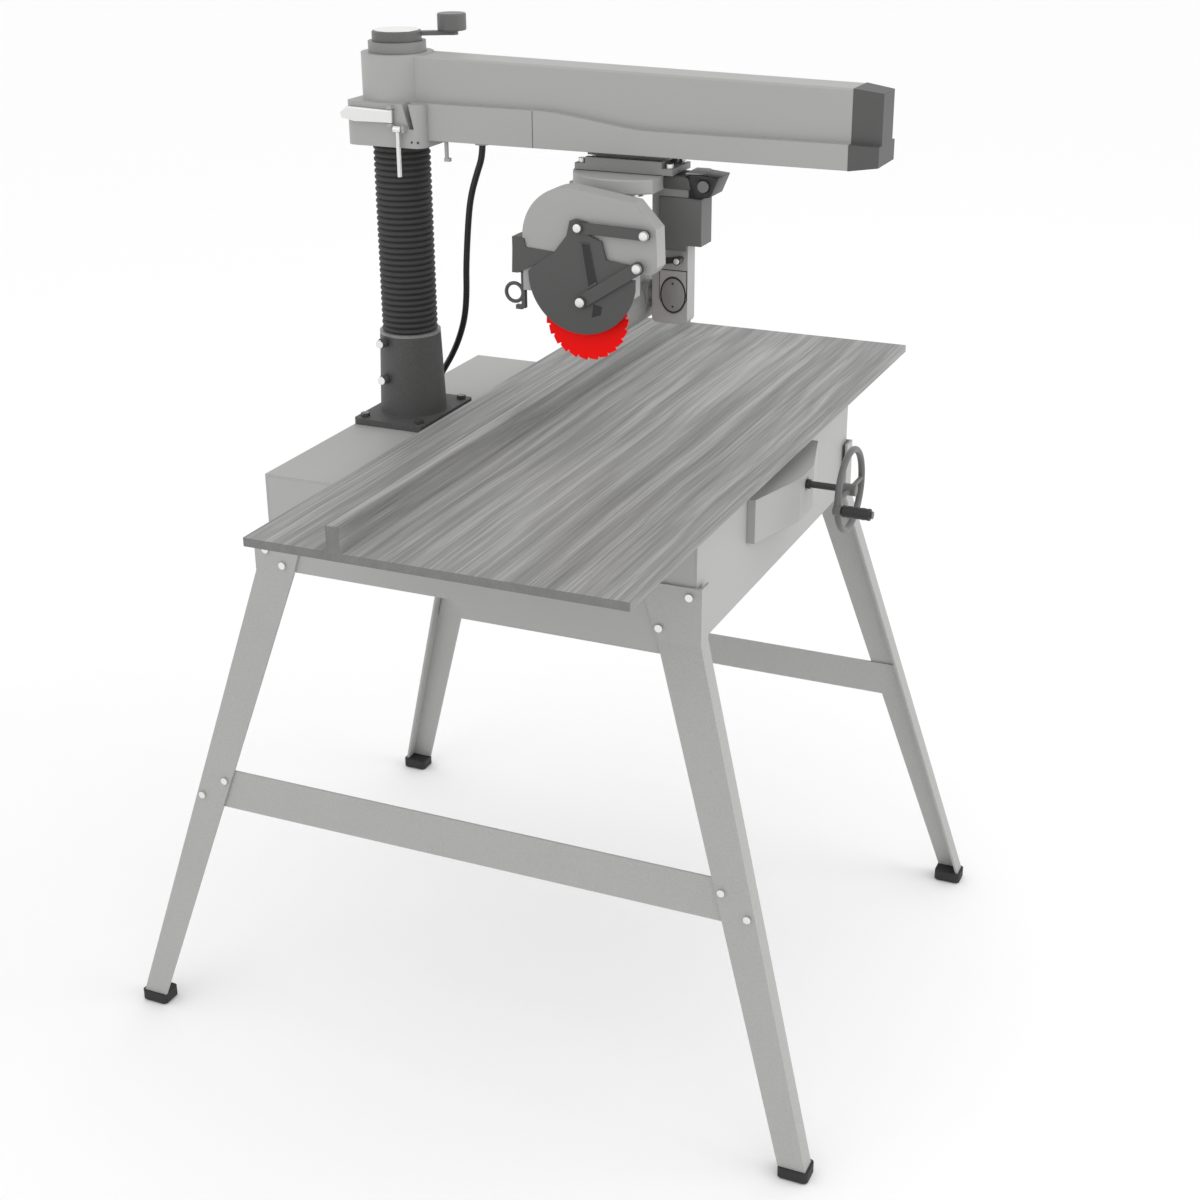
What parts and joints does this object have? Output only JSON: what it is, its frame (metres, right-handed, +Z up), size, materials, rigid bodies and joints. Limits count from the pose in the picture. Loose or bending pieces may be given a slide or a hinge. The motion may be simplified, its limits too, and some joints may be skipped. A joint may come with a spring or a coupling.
{
  "type": "radial arm saw",
  "caption": "Radial arm saw: a guarded blade and motor on a carriage that slides along a swinging overhead arm, on a lifting column behind a wooden table with a fence, on splayed legs.",
  "frame": {"origin": "on the floor at the centre of the four rubber feet", "axes": "+Z up, +Y from the operator's side back to the column, +X to the operator's right along the table"},
  "size_m": [1.2, 1.117, 1.4889],
  "materials": {
    "painted_light": "satin",
    "table_board": "satin",
    "dark_casting": "satin",
    "dark_guard": "satin",
    "dark_plastic": "matte",
    "grey_casting": "satin",
    "bright_steel": "polished",
    "machined_steel": "brushed",
    "bearing_bronze": "satin",
    "stator_iron": "matte",
    "black_rubber": "matte",
    "cable_sheath": "matte",
    "black_plastic": "matte",
    "dark_wheel": "satin",
    "pawl_steel": "satin",
    "red_blade": "satin"
  },
  "bodies": {
    "stand": {"leg_front_left": "painted_light", "leg_front_right": "painted_light", "leg_back_left": "painted_light", "leg_back_right": "painted_light", "rubber_feet": "black_rubber", "end_braces": "painted_light", "stand_bolts": "bright_steel", "base_deck": "painted_light", "end_panel_left": "painted_light", "end_panel_right": "painted_light", "front_beam": "painted_light", "table_rails": "painted_light", "front_board": "table_board", "fence": "table_board", "rear_board": "table_board", "column_support": "dark_casting", "wiper_ring": "bright_steel", "column_bolts": "bright_steel", "inner_post": "machined_steel", "shaft_bracket": "painted_light", "shaft_bearings": "bearing_bronze", "cable_lower": "cable_sheath"},
    "lift_screw": {"elevating_screw": "machined_steel"},
    "wheel_and_shaft": {"cross_shaft": "machined_steel", "handwheel": "dark_wheel"},
    "wheel_grip": {"handwheel_grip": "black_plastic"},
    "column": {"column_sleeve": "machined_steel", "column_cap": "grey_casting", "bellows": "black_rubber", "cable_upper": "cable_sheath"},
    "crank": {"top_crank": "dark_wheel"},
    "knob": {"crank_knob": "dark_wheel"},
    "arm": {"arm_casting": "painted_light", "arm_end_cap": "dark_plastic", "arm_tracks": "machined_steel"},
    "latch": {"arm_latch": "bright_steel"},
    "clamp": {"arm_clamp": "bright_steel"},
    "carriage": {"roller_truck": "grey_casting", "truck_bolts": "bright_steel"},
    "front_roller_pair": {"front_rollers": "machined_steel"},
    "rear_roller_pair": {"rear_rollers": "machined_steel"},
    "saw_yoke": {"yoke": "painted_light", "pivot_cover": "grey_casting", "switch_box": "dark_plastic", "grip_handle": "dark_plastic"},
    "button": {"switch_button": "black_plastic"},
    "bevel_clamp": {"bevel_lock": "bright_steel"},
    "motor": {"motor_housing": "grey_casting", "motor_bells": "grey_casting", "motor_bearings": "machined_steel", "stator": "stator_iron", "upper_guard": "painted_light", "dust_spout": "dark_guard", "pawl_rod": "pawl_steel"},
    "blade_and_rotor": {"rotor": "machined_steel", "saw_blade": "red_blade", "arbor_fittings": "bright_steel"},
    "guard_link_top": {"upper_link": "dark_guard"},
    "blade_guard": {"lower_guard": "dark_guard"},
    "guard_link_bottom": {"lower_link": "dark_guard"}
  },
  "joints": [
    {"name": "lift", "type": "slide", "parent": "stand", "child": "column", "axis": [0, 0, 1], "range_m": [-0.13, 0.06], "deforming": ["bellows", "cable_lower"]},
    {"name": "screw_turn", "type": "hinge", "parent": "stand", "child": "lift_screw", "pos_m": [0, 0.263, 0.9], "axis": [0, 0, 1], "range_deg": [-4680, 2160]},
    {"name": "wheel_turn", "type": "hinge", "parent": "stand", "child": "wheel_and_shaft", "pos_m": [0, -0.444, 0.862], "axis": [0, 1, 0], "range_deg": [-4680, 2160]},
    {"name": "wheel_grip_spin", "type": "hinge", "parent": "wheel_and_shaft", "child": "wheel_grip", "pos_m": [-0.05673, -0.47, 0.84994], "axis": [0, 1, 0], "continuous": true},
    {"name": "crank_turn", "type": "hinge", "parent": "column", "child": "crank", "pos_m": [0, 0.263, 1.46], "axis": [0, 0, 1], "range_deg": [-4680, 2160]},
    {"name": "crank_knob_spin", "type": "hinge", "parent": "crank", "child": "knob", "pos_m": [0.04, 0.19372, 1.475], "axis": [0, 0, 1], "continuous": true},
    {"name": "arm_swing", "type": "hinge", "parent": "column", "child": "arm", "pos_m": [0, 0.263, 1.37], "axis": [0, 0, 1], "range_deg": [-45, 45], "deforming": ["cable_upper"]},
    {"name": "latch_turn", "type": "hinge", "parent": "arm", "child": "latch", "pos_m": [-0.065, 0.243, 1.355], "axis": [0, 0, 1], "range_deg": [0, 35]},
    {"name": "clamp_turn", "type": "hinge", "parent": "arm", "child": "clamp", "pos_m": [-0.0675, 0.23, 1.338], "axis": [0, 1, 0], "range_deg": [0, 60]},
    {"name": "carriage_slide", "type": "slide", "parent": "arm", "child": "carriage", "axis": [0, 1, 0], "range_m": [-0.25, 0.13]},
    {"name": "front_roller_turn", "type": "hinge", "parent": "carriage", "child": "front_roller_pair", "pos_m": [0, -0.152, 1.33755], "axis": [1, 0, 0], "range_deg": [-876.29, 1685.17]},
    {"name": "rear_roller_turn", "type": "hinge", "parent": "carriage", "child": "rear_roller_pair", "pos_m": [0, -0.062, 1.33755], "axis": [1, 0, 0], "range_deg": [-876.29, 1685.17]},
    {"name": "yoke_turn", "type": "hinge", "parent": "carriage", "child": "saw_yoke", "pos_m": [0, -0.107, 1.283], "axis": [0, 0, 1], "range_deg": [-90, 0]},
    {"name": "switch_press", "type": "slide", "parent": "saw_yoke", "child": "button", "axis": [1, 0, 0], "range_m": [0, 0.003], "stiffness_N_per_m": 400, "springref_m": -0.003},
    {"name": "bevel_clamp_turn", "type": "hinge", "parent": "saw_yoke", "child": "bevel_clamp", "pos_m": [-0.014, -0.188, 1.176], "axis": [1, 0, 0], "range_deg": [-45, 0]},
    {"name": "bevel_tilt", "type": "hinge", "parent": "saw_yoke", "child": "motor", "pos_m": [0, -0.087, 1.119], "axis": [0, -1, 0], "range_deg": [0, 90]},
    {"name": "blade_spin", "type": "hinge", "parent": "motor", "child": "blade_and_rotor", "pos_m": [0, -0.087, 1.109], "axis": [1, 0, 0], "continuous": true},
    {"name": "guard_lift", "type": "hinge", "parent": "motor", "child": "guard_link_top", "pos_m": [-0.136, -0.1839, 1.2334], "axis": [1, 0, 0], "range_deg": [0, 20]},
    {"name": "guard_turn", "type": "hinge", "parent": "guard_link_top", "child": "blade_guard", "pos_m": [-0.136, -0.0852, 1.2361], "axis": [1, 0, 0], "range_deg": [-9, 0.5]},
    {"name": "guard_link_turn", "type": "hinge", "parent": "motor", "child": "guard_link_bottom", "pos_m": [-0.136, -0.1735, 1.1881], "axis": [1, 0, 0], "range_deg": [0, 22.5]}
  ],
  "couplings": [
    {"joint": "screw_turn", "follows": "lift", "rad_per_m": 628.32},
    {"joint": "wheel_turn", "follows": "lift", "rad_per_m": 628.32},
    {"joint": "crank_turn", "follows": "lift", "rad_per_m": 628.32},
    {"joint": "front_roller_turn", "follows": "carriage_slide", "rad_per_m": -117.65},
    {"joint": "rear_roller_turn", "follows": "carriage_slide", "rad_per_m": -117.65},
    {"joint": "guard_turn", "follows": "guard_lift", "ratio": -0.4037},
    {"joint": "guard_link_turn", "follows": "guard_lift", "ratio": 1.0922}
  ]
}
